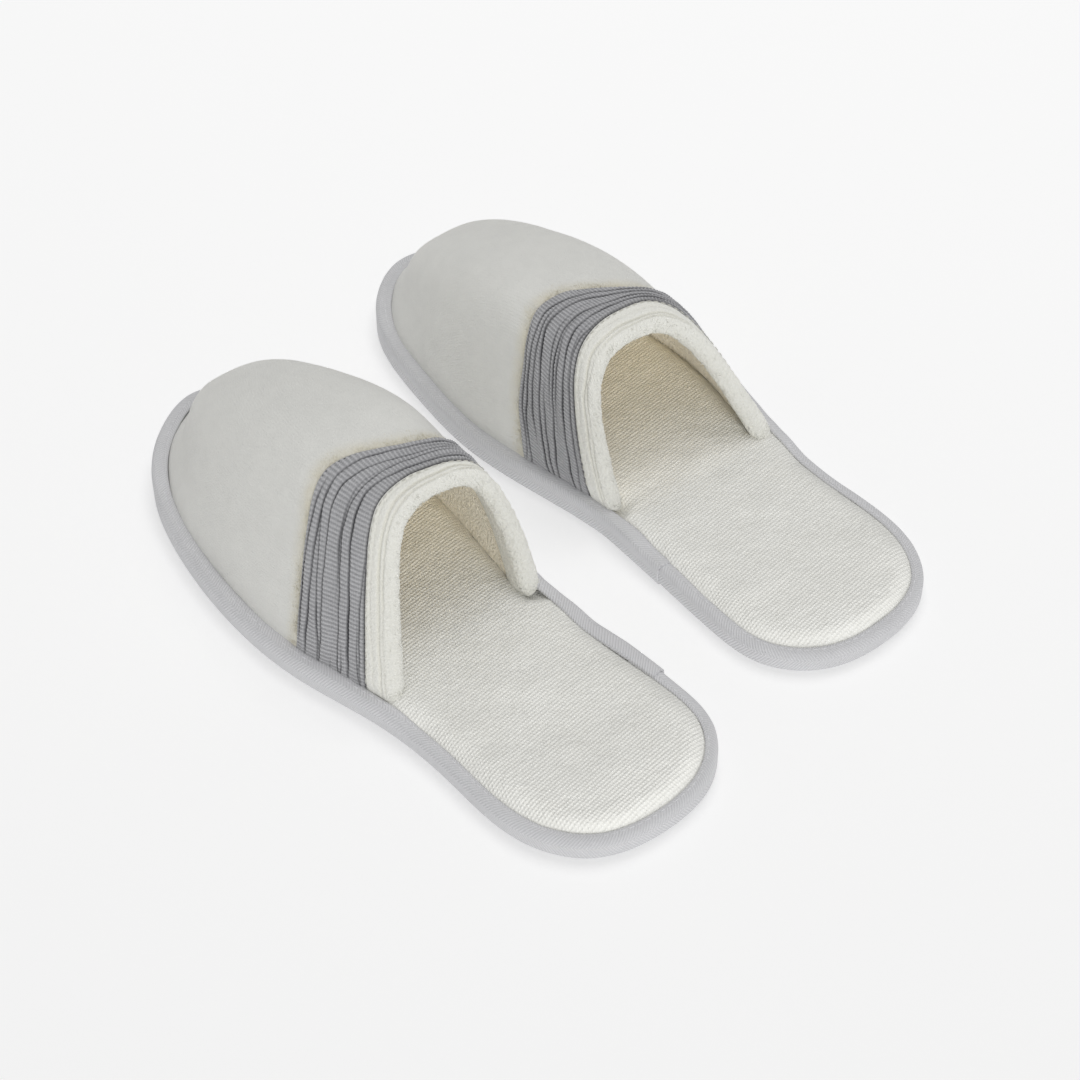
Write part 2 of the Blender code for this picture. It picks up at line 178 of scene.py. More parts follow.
class Noise:
    """Smooth seeded noise in three dimensions, between about -1 and 1."""

    def __init__(self, seed, size=64):
        self.values = np.random.default_rng(seed).uniform(-1, 1, (size, size, size))

    def __call__(self, points, scale):
        return read_grid(self.values, np.moveaxis(points / scale, -1, 0))


# ---- The outline of the sole ----

def closed_curve(points, samples):
    """Points on the periodic cubic spline through the given points."""
    knots = np.array(points, float)
    count = len(knots)
    after = np.roll(knots, -1, axis=0)
    spans = np.linalg.norm(after - knots, axis=1)
    slopes = (after - knots) / spans[:, None]
    matrix = np.zeros((count, count))
    for i in range(count):
        matrix[i, i - 1] += spans[i - 1]
        matrix[i, i] += 2 * (spans[i - 1] + spans[i])
        matrix[i, (i + 1) % count] += spans[i]
    bend = np.linalg.solve(matrix, 6 * (slopes - np.roll(slopes, 1, axis=0)))
    bend_after = np.roll(bend, -1, axis=0)
    starts = np.append(0, np.cumsum(spans))
    along = np.linspace(0, starts[-1], samples, endpoint=False)
    index = np.searchsorted(starts, along, side="right") - 1
    span = spans[index][:, None]
    run = along[:, None] - starts[index][:, None]
    rest = span - run
    cubic = (bend[index] * rest ** 3 + bend_after[index] * run ** 3) / (6 * span)
    near = (knots[index] / span - bend[index] * span / 6) * rest
    far = (after[index] / span - bend_after[index] * span / 6) * run
    return cubic + near + far


OUTLINE = closed_curve(OUTLINE_POINTS, SAMPLES)
_along = np.roll(OUTLINE, -1, axis=0) - np.roll(OUTLINE, 1, axis=0)
_along /= np.linalg.norm(_along, axis=1)[:, None]
INWARD = np.column_stack([-_along[:, 1], _along[:, 0]])
TOE_SAMPLE = int(OUTLINE[:, 1].argmax())
OUTLINE_RUN = run_along(np.append(OUTLINE, OUTLINE[:1], axis=0))
OUTLINE_LENGTH = OUTLINE_RUN[-1]


def outline_at(run, inset):
    """The points of the inset outline at distances along the outline."""
    curve = OUTLINE + INWARD * inset
    return np.stack([np.interp(run % OUTLINE_LENGTH, OUTLINE_RUN, np.append(part, part[0]))
                     for part in curve.T], -1)


INSET_STEPS = np.linspace(-6, 14, 41)
TIP_STEPS = np.linspace(0, 1, 401)


def half_table():
    """x of the outer and the inner side for each inset and each place between the toe and the heel.

    A place is the square root of the distance from the inset outline's tip, as a share.
    """
    halves = np.arange(0, TOE_SAMPLE + 1), np.arange(SAMPLES - 1, TOE_SAMPLE - 1, -1)
    table = np.zeros((len(INSET_STEPS), len(TIP_STEPS), 2))
    for n, inset in enumerate(INSET_STEPS):
        curve = OUTLINE + INWARD * inset
        tip = LENGTH - inset
        y = tip - (tip - inset) * TIP_STEPS ** 2
        for k, half in enumerate(halves):
            table[n, :, k] = np.interp(y, curve[half, 1], curve[half, 0])
    return table


HALF_TABLE = half_table()


def sides(y, inset):
    """x of the outer side and of the inner side of the inset outline at y."""
    y, inset = np.broadcast_arrays(np.asarray(y, float), np.asarray(inset, float))
    tip = LENGTH - inset
    place = np.sqrt(np.clip((tip - y) / (tip - inset), 0, 1)) * (len(TIP_STEPS) - 1)
    layer = (inset - INSET_STEPS[0]) / (INSET_STEPS[1] - INSET_STEPS[0])
    return np.moveaxis(read_grid(HALF_TABLE, (layer, place), smooth=False), -1, 0)


def edge_distance(points):
    """Distance in millimetres from points inside the outline to the outline."""
    flat = np.asarray(points, float).reshape(-1, 2)
    ring = OUTLINE[::2]
    found = [((part[:, None, :] - ring[None]) ** 2).sum(-1).min(1)
             for part in np.array_split(flat, len(flat) // 4000 + 1)]
    return np.sqrt(np.concatenate(found)).reshape(points.shape[:-1])


# ---- The vault of the toe cover ----

def shifted(angle, pairs):
    """A smooth curve through the pairs, read at angles in radians."""
    knots = np.array(pairs, float)
    even = np.linspace(0, 180, 361)
    line = np.interp(even, knots[:, 0], knots[:, 1])
    kernel = np.hanning(25)
    line = np.convolve(np.pad(line, 12, mode="edge"), kernel / kernel.sum(), mode="valid")
    return np.interp(np.degrees(angle), even, line)


def rise(angle):
    """How high the arch is at an angle from the outer foot (0) to the inner foot (pi)."""
    return 1 - np.abs(np.cos(angle)) ** ARCH_POWER


def vault_height(y, toe_y):
    u = np.clip(toe_y - y, 0, None) / (LENGTH - CREASE - BACK_Y)
    return np.sqrt(u) * (CREST[0] + CREST[1] * u + CREST[2] * u * u)


def throat_line(angle, ends, power=EDGE_SWEEP):
    """y of a line over the instep, from its feet at one y to its crest at the other."""
    start = ends[0] + SIDE_LEAN * np.cos(angle)
    return start + (ends[1] - ends[0]) * rise(angle) ** power


def throat_edge(angle):
    return throat_line(angle, THROAT_Y) + EDGE_SHARE * shifted(angle, COLLAR_SHIFT[side])


def collar_front(angle):
    return throat_line(angle, COLLAR_FRONT_Y) + shifted(angle, COLLAR_SHIFT[side])


def band_front(angle):
    dip = BAND_DIP * np.sin(angle) ** BAND_DIP_POWER
    return throat_line(angle, BAND_FRONT_Y, BAND_SWEEP) + dip + shifted(angle, BAND_SHIFT[side])


def vault(angle, y, inset):
    """Points on the vault, moved inwards by inset."""
    angle, y, inset = np.broadcast_arrays(angle, y, inset)
    foot_z = np.interp(inset, (0, LAYERS), (VAMP_FOOT, LINING_FOOT))
    toe_y = LENGTH - CREASE - inset
    outer, inner = sides(y, CREASE + inset)
    u = np.clip(toe_y - y, 0, None) / (toe_y - BACK_Y)
    drop = inset - (VAMP_FOOT - foot_z)
    full = vault_height(BACK_Y + THROAT_Y[1] - THROAT_Y[0], LENGTH - CREASE)
    height = vault_height(y, toe_y) * (1 - drop / full)
    x = (outer + inner) / 2 + (outer - inner) / 2 * np.cos(angle) + CREST_SHIFT * rise(angle) * u
    middle = (COLLAR_FRONT_Y[1] + BAND_FRONT_Y[1] + BAND_DIP) / 2
    held = SQUEEZE[side] * np.exp(-((y - middle) / 17) ** 2) * np.sin(angle) ** 4
    z = foot_z + height * rise(angle) - held
    lean = TOE_LEAN * smooth_step(y, 195, 262) * smooth_step(z, 9, 23) * smooth_step(z, 50, 25)
    away = np.hypot(x, y - TOE_CENTRE) + 1
    return np.stack([x - lean * x / away, y - lean * (y - TOE_CENTRE) / away, z], -1)


def cover_y(angle, columns, toe_y):
    """y of a cover layer's points in rows across the instep, from the throat's edge to the toe."""
    edge = throat_edge(angle)[:, None]
    return edge + (toe_y - edge) * (1 - (1 - np.linspace(0, 1, columns)[None]) ** 1.8)


def outward_normals(grid):
    """Unit normals of a grid of points on the vault."""
    return unit(np.cross(np.gradient(grid, axis=1), np.gradient(grid, axis=0)))


# ---- Meshes ----

def slipper_origin(name):
    """Where a slipper's heel point stands, from the frame's outsole, in metres."""
    low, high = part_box(f"{name}_outsole")
    ring = (OUTLINE + INWARD * (TAPE + GAP)) * MM
    middle = (ring.min(axis=0) + ring.max(axis=0)) / 2
    x = (low.x + high.x) / 2 - SIDES[name] * middle[0]
    return np.array([x, (low.y + high.y) / 2 - middle[1], low.z])


ORIGIN = {name: slipper_origin(name) for name in SIDES}


def grid_faces(rows, columns, start=0, close_columns=False):
    """Quads between the points of a grid, row by row, as indices."""
    i = np.arange(rows - 1)
    j = np.arange(columns if close_columns else columns - 1)
    i, j = np.meshgrid(i, j, indexing="ij")
    j2 = (j + 1) % columns
    here, after = start + i * columns, start + (i + 1) * columns
    return np.stack([here + j, here + j2, after + j2, after + j], -1).reshape(-1, 4).tolist()


def place_object(name, data):
    made = bpy.data.objects.new(name, data)
    bpy.context.scene.collection.objects.link(made)
    return made


def make_mesh(name, points, faces, look, uv=None, tint=None):
    """A smooth mesh object from points in millimetres.

    uv holds two numbers for each point, in millimetres on the cloth.  tint is one number for each
    point, which the materials use as a share of their second colour.
    """
    mesh = bpy.data.meshes.new(f"{side}_{name}")
    world = points.reshape(-1, 3) * MM * [SIDES[side], 1, 1] + ORIGIN[side]
    mesh.from_pydata(world.tolist(), [], [face[::SIDES[side]] for face in faces])
    if uv is not None:
        layer = mesh.uv_layers.new(name="weave")
        index = np.empty(len(mesh.loops), np.int32)
        mesh.loops.foreach_get("vertex_index", index)
        layer.data.foreach_set("uv", uv.astype(np.float32).reshape(-1, 2)[index].ravel())
    if tint is not None:
        layer = mesh.attributes.new("tint", "FLOAT", "POINT")
        layer.data.foreach_set("value", tint.astype(np.float32).ravel())
    mesh.shade_smooth()
    mesh.materials.append(LOOKS[look])
    return place_object(mesh.name, mesh)


def weld(piece, distance=0.00002):
    """Join the piece's points that lie on each other."""
    bm = bmesh.new()
    bm.from_mesh(piece.data)
    bmesh.ops.remove_doubles(bm, verts=bm.verts, dist=distance)
    bmesh.ops.dissolve_degenerate(bm, edges=bm.edges, dist=distance / 4)
    bmesh.ops.recalc_face_normals(bm, faces=bm.faces)
    bm.to_mesh(piece.data)
    bm.free()
    return piece


def closed_sheet(name, seen, hidden, look, uv=None, tint=None):
    """A closed sheet: a fine grid of points and a grid of fewer columns beneath it."""
    rows, columns = seen.shape[:2]
    under_columns = hidden.shape[1]
    count, under_count = rows * columns, rows * under_columns
    faces = [face[::-1] for face in grid_faces(rows, columns)]
    faces += grid_faces(rows, under_columns, count)
    above = np.arange(rows - 1)
    for near, far in ((above * columns, count + above * under_columns),
                      (above * columns + columns - 1, count + (above + 1) * under_columns - 1)):
        faces += np.stack([near, near + columns, far + under_columns, far], -1).tolist()
    for row in (0, rows - 1):
        under = count + row * under_columns
        faces.append([*range(row * columns, (row + 1) * columns),
                      *range(under + under_columns - 1, under - 1, -1)])
    points = np.concatenate([seen.reshape(-1, 3), hidden.reshape(-1, 3)])
    if uv is not None:
        uv = np.append(uv.reshape(-1, 2), np.zeros((under_count, 2)), axis=0)
        tint = np.append(tint, np.zeros(under_count))
    return weld(make_mesh(name, points, faces, look, uv, tint))


def slab(name, grid, other_z, look, uv=None, tint=None):
    """A closed piece from a grid of points and one flat face at other_z, along the grid's edge."""
    rows, columns = grid.shape[:2]
    corners = np.arange(rows * columns).reshape(rows, columns)
    ring = [*corners[:, 0], *corners[-1, 1:], *corners[-2::-1, -1], *corners[0, -2:0:-1]]
    ring = [int(corner) for corner in ring]
    under = [rows * columns + n for n in range(len(ring))]
    faces = [face[::-1] for face in grid_faces(rows, columns)]
    for n, here in enumerate(ring):
        after = (n + 1) % len(ring)
        faces.append([here, ring[after], under[after], under[n]])
    faces.append(under)
    points = grid.reshape(-1, 3)
    points = np.concatenate([points, points[ring] * [1, 1, 0] + [0, 0, other_z]])
    if uv is not None:
        uv = np.concatenate([uv.reshape(-1, 2), uv.reshape(-1, 2)[ring]])
        tint = np.append(tint, np.zeros(len(ring)))
    return weld(make_mesh(name, points, faces, look, uv, tint))


def settle(piece, slot, *nodes):
    """Every piece rides on its slipper and stands for its CAD nodes; slot is not used."""
    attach(piece, f"{side}_slipper")
    PIECES.append(piece)
    if nodes:
        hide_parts(*[f"{side}_{node}" for node in nodes])
    return piece


def resize_grid(grid, rows, columns):
    """A coarse grid of values read at more rows and columns."""
    row = np.linspace(0, grid.shape[0] - 1, rows)
    column = np.linspace(0, grid.shape[1] - 1, columns)
    return read_grid(grid, (row[:, None], column[None]))


def soften(grid, times):
    """A grid of values whose rows and columns are averaged with their neighbours."""
    for _ in range(times):
        wide = np.pad(grid, ((1, 1), (1, 1), (0, 0)), mode="edge")
        grid = (wide[:-2, 1:-1] + wide[2:, 1:-1] + wide[1:-1, :-2] + wide[1:-1, 2:] + 2 * grid) / 6
    return grid


CLOTH = {"quality": 6, "mass": 0.15, "tension_stiffness": 12, "compression_stiffness": 6,
         "bending_stiffness": 0.4, "use_pressure": True, "vertex_group_mass": "pin"}
CLOTH_FRAMES = 20


def blow_up(grid, held, pressure, shrink, cap, turn=1):
    """How far a sheet of cloth moves when it is blown up, for each point of a coarse grid.

    The grid is in millimetres.  Held points stay, and no point moves further than the cap.
    """
    mesh = bpy.data.meshes.new("cloth_test")
    faces = [face[::turn] for face in grid_faces(*grid.shape[:2])]
    mesh.from_pydata((grid.reshape(-1, 3) * MM).tolist(), [], faces)
    cloth = place_object("cloth_test", mesh)
    pin = cloth.vertex_groups.new(name="pin")
    pin.add(np.flatnonzero(held.ravel()).tolist(), 1.0, "REPLACE")
    modifier = cloth.modifiers.new("cloth", "CLOTH")
    settings = modifier.settings
    for name, value in {**CLOTH, "uniform_pressure_force": pressure, "shrink_min": shrink}.items():
        setattr(settings, name, value)
    settings.effector_weights.gravity = 0
    modifier.collision_settings.use_collision = False
    scene = bpy.context.scene
    for number in range(1, CLOTH_FRAMES + 1):
        scene.frame_set(number)
    result = cloth.evaluated_get(bpy.context.evaluated_depsgraph_get())
    moved = np.empty(len(mesh.vertices) * 3, np.float32)
    result.data.vertices.foreach_get("co", moved)
    moved = moved.reshape(grid.shape) / MM - grid
    scene.frame_set(1)
    bpy.data.objects.remove(cloth)
    bpy.data.meshes.remove(mesh)
    length = np.linalg.norm(moved, axis=-1, keepdims=True)
    return moved * np.minimum(1, cap / np.maximum(length, 1e-6))


# ---- Materials ----

def linear(color):
    """A colour given as the eye sees it, 0 to 255, as the renderer's own numbers."""
    shares = [value / 255 for value in color]
    return tuple(v / 12.92 if v <= 0.04045 else ((v + 0.055) / 1.055) ** 2.4 for v in shares)


class Nodes:
    """Builds a node material."""

    def __init__(self, name):
        self.material = bpy.data.materials.new(name)
        self.material.use_nodes = True
        self.tree = self.material.node_tree
        self.shader = self.tree.nodes["Principled BSDF"]
        self.place = self.add("ShaderNodeTexCoord").outputs["Object"]

    def put(self, target, value):
        if isinstance(value, bpy.types.NodeSocket):
            self.tree.links.new(value, target)
        else:
            target.default_value = value

    def add(self, kind, inputs=(), **settings):
        """A node with its settings and what goes into its inputs."""
        node = self.tree.nodes.new(kind)
        for key, value in settings.items():
            setattr(node, key, value)
        for key, value in dict(inputs).items():
            self.put(node.inputs[key], value)
        return node

    def math(self, operation, *values):
        return self.add("ShaderNodeMath", enumerate(values), operation=operation).outputs[0]

    def total(self, *parts):
        """The last value, with the (value, weight) pairs before it added on."""
        *weighted, result = parts
        for value, weight in reversed(weighted):
            result = self.math("MULTIPLY_ADD", value, weight, result)
        return result

    def mix(self, share, a, b):
        """From colour a to colour b, each a socket or 0 to 255."""
        a, b = ((*linear(color), 1.0) if isinstance(color, tuple) else color for color in (a, b))
        mixed = self.add("ShaderNodeMix", {"Factor": share, "A": a, "B": b}, data_type="RGBA")
        return mixed.outputs["Result"]

    def noise(self, scale, detail=2.0, rough=0.5):
        inputs = {"Vector": self.place, "Scale": scale, "Detail": detail, "Roughness": rough}
        return self.add("ShaderNodeTexNoise", inputs).outputs["Fac"]

    def ramp(self, value, low, high, from_low=0.0, from_high=1.0):
        inputs = {"Value": value, "From Min": from_low, "From Max": from_high, "To Min": low,
                  "To Max": high}
        return self.add("ShaderNodeMapRange", inputs).outputs["Result"]

    def wave(self, value, pitch=1.0, shape="SINE"):
        """A wave between 0 and 1 that repeats once a pitch."""
        turn = self.math("MULTIPLY", value, math.tau / pitch)
        return self.ramp(self.math(shape, turn), 0.0, 1.0, -1.0, 1.0)

    def weave(self):
        """The two distances on the cloth."""
        uv = self.add("ShaderNodeUVMap", uv_map="weave").outputs["UV"]
        return self.add("ShaderNodeSeparateXYZ", {0: uv}).outputs[:2]

    def tint(self):
        return self.add("ShaderNodeAttribute", attribute_name="tint").outputs["Fac"]

    def finish(self, color, roughness, height=None, depth=0.0, sheen=0.0, sheen_tint=(1, 1, 1)):
        for key, value in (("Base Color", color), ("Roughness", roughness), ("Sheen Weight", sheen),
                           ("Specular IOR Level", 0.2), ("Sheen Roughness", 0.5),
                           ("Sheen Tint", (*sheen_tint, 1.0))):
            self.put(self.shader.inputs[key], value)
        if height is not None:
            inputs = {"Strength": 1.0, "Distance": depth, "Height": height}
            self.put(self.shader.inputs["Normal"], self.add("ShaderNodeBump", inputs).outputs[0])
        return self.material


def terry(name, light, shade, loop=1.1, depth=0.0004, tint_gain=0.0, warm=None, in_rows=False):
    """Looped cotton: small bright loops over a shaded ground, in rows or all over.

    The tint paints light on the loop tops when its gain is above 0 and shade into creases when
    it is below; warm is painted warm light that the cloth turns to towards the toe.
    """
    n = Nodes(name)
    inputs = {"Vector": n.place, "Scale": 1000 / loop, "Smoothness": 0.5}
    loops = n.add("ShaderNodeTexVoronoi", inputs, feature="SMOOTH_F1")
    bright = n.ramp(loops.outputs["Distance"], 1.0, 0.0, 0.1, 0.8)
    fuzz = n.noise(2600, 3.0, 0.7)
    height = n.total((fuzz, 0.5), bright)
    if in_rows:
        along, across = n.weave()
        stagger = n.total((n.math("MODULO", n.math("ROUND", across), 2.0), 0.5), along)
        one, two = n.wave(stagger, shape="COSINE"), n.wave(across, shape="COSINE")
        loop_top = n.math("MULTIPLY", n.math("MULTIPLY_ADD", one, 0.85, 0.15), two)
        height = n.total((bright, 0.45), (fuzz, 0.7), loop_top)
    blotch = n.noise(45, 3.0, 0.6)
    share = n.total((n.tint(), tint_gain), (blotch, 0.5), n.ramp(height, 0.0, 0.6, 0.3, 1.6))
    share = n.math("MINIMUM", n.math("MAXIMUM", share, 0.0), 1.0)
    color = n.mix(share, shade, light)
    if warm:
        # Painted warm light: the cloth turns warm towards the toe, under the toe cover
        y = n.add("ShaderNodeSeparateXYZ", {0: n.place}).outputs[1]
        color = n.mix(n.ramp(y, 0.0, 1.0, -0.035, 0.035), color, warm)
    return n.finish(color, n.ramp(fuzz, 0.85, 1.0), height, depth, sheen=0.35)


def velour():
    """Sheared pile, almost smooth, fuzzy by the band, with painted warm shade where the tint is 1.
    """
    n = Nodes("vamp_velour_pile")
    pile = n.noise(1500, 4.0, 0.75)
    nap = n.noise(130, 4.0, 0.6)
    cloud = n.noise(22, 3.0, 0.5)
    ribs = n.wave(n.weave()[0], 1.15)
    share = n.total((nap, 0.45), (cloud, 0.4), (pile, 0.25), 0.0)
    cool = n.mix(share, (224, 224, 220), (248, 248, 243))
    # warm: the colour of the painted shade along the band's front edge
    warm = n.mix(pile, (220, 213, 192), (244, 239, 220))
    height = n.total((ribs, 0.1), (nap, 0.7), pile)
    return n.finish(n.mix(n.tint(), cool, warm), n.ramp(nap, 0.82, 0.98), height, 0.0004, sheen=0.5,
                    sheen_tint=(1, 0.99, 0.96))


def herringbone():
    """Twill tape: ribs that slant one way and the other in columns along the tape."""
    n = Nodes("binding_herringbone")
    along, across = n.weave()
    column = 5.0
    slant = n.math("PINGPONG", across, column)
    rib = n.wave(n.total((slant, 0.75), along), 1.25)
    yarn = n.wave(across, 0.55)
    grain = n.noise(1400, 3.0, 0.7)
    cloud = n.noise(60, 3.0, 0.6)
    off_middle = n.math("ABSOLUTE", n.math("SUBTRACT", slant, column / 2))
    spine = n.ramp(off_middle, 0.0, 1.0, 2.1, 2.5)
    share = n.total((spine, -0.15), (rib, 0.4), (grain, 0.45), (cloud, 0.35), 0.0)
    color = n.mix(share, (197, 197, 199), (229, 229, 231))
    height = n.total((grain, 0.4), (yarn, 0.2), rib)
    return n.finish(color, n.ramp(grain, 0.75, 0.95), height, 0.00016, sheen=0.25)


def knit():
    """Ribbed grey knit, with painted shade in the folds and at its back edge, where the tint is 1.
    """
    n = Nodes("band_rib_knit")
    along, across = n.weave()
    rib, stitch = n.wave(along), n.wave(across, 0.9)
    grain = n.noise(1500, 3.0, 0.75)
    cloud = n.noise(70, 3.0, 0.6)
    share = n.total((stitch, 0.12), (rib, 0.45), (grain, 1.0), (cloud, 0.25), -0.35)
    lit = n.mix(share, (138, 138, 141), (207, 207, 209))
    height = n.total((grain, 0.8), (stitch, 0.3), rib)
    # (58, 58, 61) is the colour of the painted shade in the folds and at the back edge
    return n.finish(n.mix(n.tint(), lit, (58, 58, 61)), n.ramp(grain, 0.8, 1.0), height, 0.00025,
                    sheen=0.3)


def foam(name, light, shade, cell):
    """Foam sheet with fine open cells."""
    n = Nodes(name)
    cells = n.add("ShaderNodeTexVoronoi", {"Vector": n.place, "Scale": 1000 / cell})
    pits = n.ramp(cells.outputs["Distance"], 0.0, 1.0, 0.0, 0.7)
    cloud = n.noise(35, 4.0, 0.6)
    color = n.mix(n.total((cloud, 0.6), (pits, 0.4), 0.0), shade, light)
    return n.finish(color, n.ramp(cloud, 0.6, 0.8), pits, 0.00012)


def thread(name, light, shade):
    """Twisted sewing thread."""
    n = Nodes(name)
    bands = n.add("ShaderNodeTexWave", {"Vector": n.place, "Scale": 900, "Distortion": 1.5},
                  wave_type="BANDS", bands_direction="DIAGONAL")
    twist = bands.outputs["Fac"]
    grain = n.noise(1800)
    color = n.mix(n.total((grain, 0.4), (twist, 0.6), 0.0), shade, light)
    return n.finish(color, n.ramp(grain, 0.6, 0.8), twist, 0.00006, sheen=0.1)


LOOKS = {
    # The insole turns to painted warm light towards the toe, under the toe cover
    "insole": terry("insole_terry_loops", (235, 235, 231), (213, 212, 205), depth=0.0002,
                    tint_gain=0.22, warm=(253, 245, 225), in_rows=True),
    "lining": terry("lining_terry_loops", (253, 248, 234), (246, 237, 214)),
    # The collar's tint darkens its creases with painted shade
    "collar": terry("collar_terry_loops", (252, 252, 247), (240, 239, 230), loop=0.9,
                    depth=0.00025, tint_gain=-0.9),
    "vamp": velour(),
    "tape": herringbone(),
    "band": knit(),
    "outsole": foam("outsole_foam_sheet", (232, 232, 228), (210, 210, 206), 0.5),
    "midsole": foam("midsole_foam_sheet", (236, 233, 222), (216, 212, 198), 0.7),
    "interlining": foam("interlining_foam_sheet", (232, 228, 216), (212, 206, 190), 0.7),
    "tape_thread": thread("binding_sewing_thread", (240, 240, 242), (222, 222, 225)),
    "collar_thread": thread("collar_sewing_thread", (226, 225, 218), (194, 192, 184)),
    "band_thread": thread("band_sewing_thread", (92, 92, 96), (56, 56, 60)),
    "fringe": thread("vamp_fringe_fibres", (246, 242, 228), (230, 224, 204)),
}


# ---- Sole pieces ----

def sole_grid(rows, columns, inset):
    """Points over the sole inside an inset: rows from side to side, columns from heel to toe."""
    even = np.linspace(0, 1, columns)
    v = 0.65 * even + 0.35 * (1 - np.cos(np.pi * even)) / 2
    low, high = inset, LENGTH - inset
    y = np.clip(low + (high - low) * v, low + 0.02, high - 0.02)
    reach = np.pi / 2 * 0.72
    u = np.sin(np.linspace(-1, 1, rows) * reach) / math.sin(reach)
    outer, inner = sides(y, inset)
    x = (outer + inner)[None] / 2 + (outer - inner)[None] / 2 * u[:, None]
    return np.stack([x, np.broadcast_to(y, x.shape)], -1)


def tape_top(y):
    low = INSOLE_RIM_TOP + GAP + TAPE
    high = VAMP_FOOT + GAP + TAPE
    return (low + (high - low) * smooth_step(y, *TAPE_RISE_Y)
            + TOE_TAPE_RISE * smooth_step(y, *TOE_TAPE_Y))


def make_insole():
    rows, columns, step = 176, 536, 8
    flat = sole_grid(rows, columns, TAPE + GAP)
    distance = edge_distance(flat)
    front = smooth_step(flat[..., 1], *COVER_START_Y)
    foot = TAPE_FLANGE - 0.6 + (CREASE + LAYERS - TAPE_FLANGE) * front
    over = distance - foot
    puff = np.sin(np.clip(over / 9.0, 0, 1) * np.pi / 2)
    rim = INSOLE_RIM_TOP + (tape_top(flat[..., 1]) - tape_top(0)) * (1 - front)
    base = np.dstack([flat, rim + (INSOLE_CROWN - rim) * puff])
    held = (distance < foot + 1.0)[::step, ::step]
    held[[0, -1]] = held[:, [0, -1]] = True
    moved = blow_up(base[::step, ::step], held, pressure=1.4, shrink=-0.02, cap=0.8)
    lift = resize_grid(soften(np.abs(moved), 2), rows, columns)[..., 2]
    even = base * [1, 1, 0]
    dents = noise(even, 26) * 0.45 + noise(even, 9) * 0.22
    along = base[..., 0] + 0.25 * noise(even + 3, 7)
    slope = ROW_SLOPE * SIDES[side] * base[..., 0]
    across = (base[..., 1] - slope + 0.3 * noise(even + 7, 14)) / ROW_PITCH
    row = np.round(across)
    place = along / LOOP_PITCH + 0.5 * (row % 2)
    size = 1 + 0.45 * noise(np.dstack([row * 1.7, np.round(place) * 1.9, row * 0]) + 0.5, 1.0)
    loops = size * np.exp(-((across - row) / 0.34) ** 2 - ((place - np.round(place)) / 0.4) ** 2)
    in_rows = smooth_step(over, 2.5, 7)
    frizz = noise(even + 31, 1.1) * 0.07 + noise(even + 13, 2.1) * 0.06
    texture = (0.15 * loops * (0.25 + 0.75 * in_rows) + frizz) * smooth_step(over, -0.5, 2)
    base[..., 2] += lift * smooth_step(over, 0, 5) + dents * smooth_step(over, 0, 4) + texture
    made = slab("insole_pad", base, FOAM_TOP + GAP, "insole",
                np.dstack([along / LOOP_PITCH, across]), loops * in_rows + 0.5 * (1 - in_rows))
    settle(made, "insole_terry", "insole")


def make_outsole():
    """The tread: a foam sheet with a moulded grid of dimples and a rounded lower edge."""
    flat = sole_grid(130, 400, TAPE + GAP)
    distance = edge_distance(flat)
    row_pitch = DIMPLE_PITCH * ROW_SHARE
    row = np.round(flat[..., 1] / row_pitch)
    x = flat[..., 0] - DIMPLE_PITCH / 2 * (row % 2)
    x_away = x - DIMPLE_PITCH * np.round(x / DIMPLE_PITCH)
    near = np.hypot(x_away, flat[..., 1] - row * row_pitch)
    tread = smooth_step(distance, TAPE_FLANGE + 0.4, TAPE_FLANGE + 1.6)
    dimple = smooth_step(near, 1.5, 0.7) * smooth_step(distance, TAPE_FLANGE + 4, TAPE_FLANGE + 5)
    bottom = np.dstack([flat, 1.5 * (1 - tread) + 0.55 * dimple])
    made = slab("outsole_sheet", bottom, OUTSOLE_TOP, "outsole")
    settle(made, "outsole_foam", "outsole")


def tape_profile(top, outward, flange):
    """The folded tape's section, as (inset, z) pairs: lower flange, wall and upper flange.

    outward moves the wall out.
    """
    radius = 2.0
    bend = [(1 - math.sin(a), 1 - math.cos(a)) for a in np.arange(7) * math.pi / 12]
    path = [(TAPE_FLANGE, TAPE_FLOOR)]
    path += [(radius * x - outward, TAPE_FLOOR + radius * z) for x, z in bend]
    wall = top - radius - TAPE_FLOOR - radius
    path += [(-outward, TAPE_FLOOR + radius + wall * k / 5) for k in range(1, 5)]
    path += [(radius * z - outward, top - radius * x) for x, z in bend]
    path += [(radius + (flange - radius) * k / 4, top - 0.28 * smooth_step(k / 4, 0.3, 1))
             for k in range(1, 5)]
    return np.array(path)


def lap_run():
    """How far along the outline the tape starts, on the slipper's inner side."""
    inner_side = OUTLINE[TOE_SAMPLE:, 1]
    return OUTLINE_RUN[TOE_SAMPLE + int(np.abs(inner_side - LAP_Y[side] - LAP).argmin())]


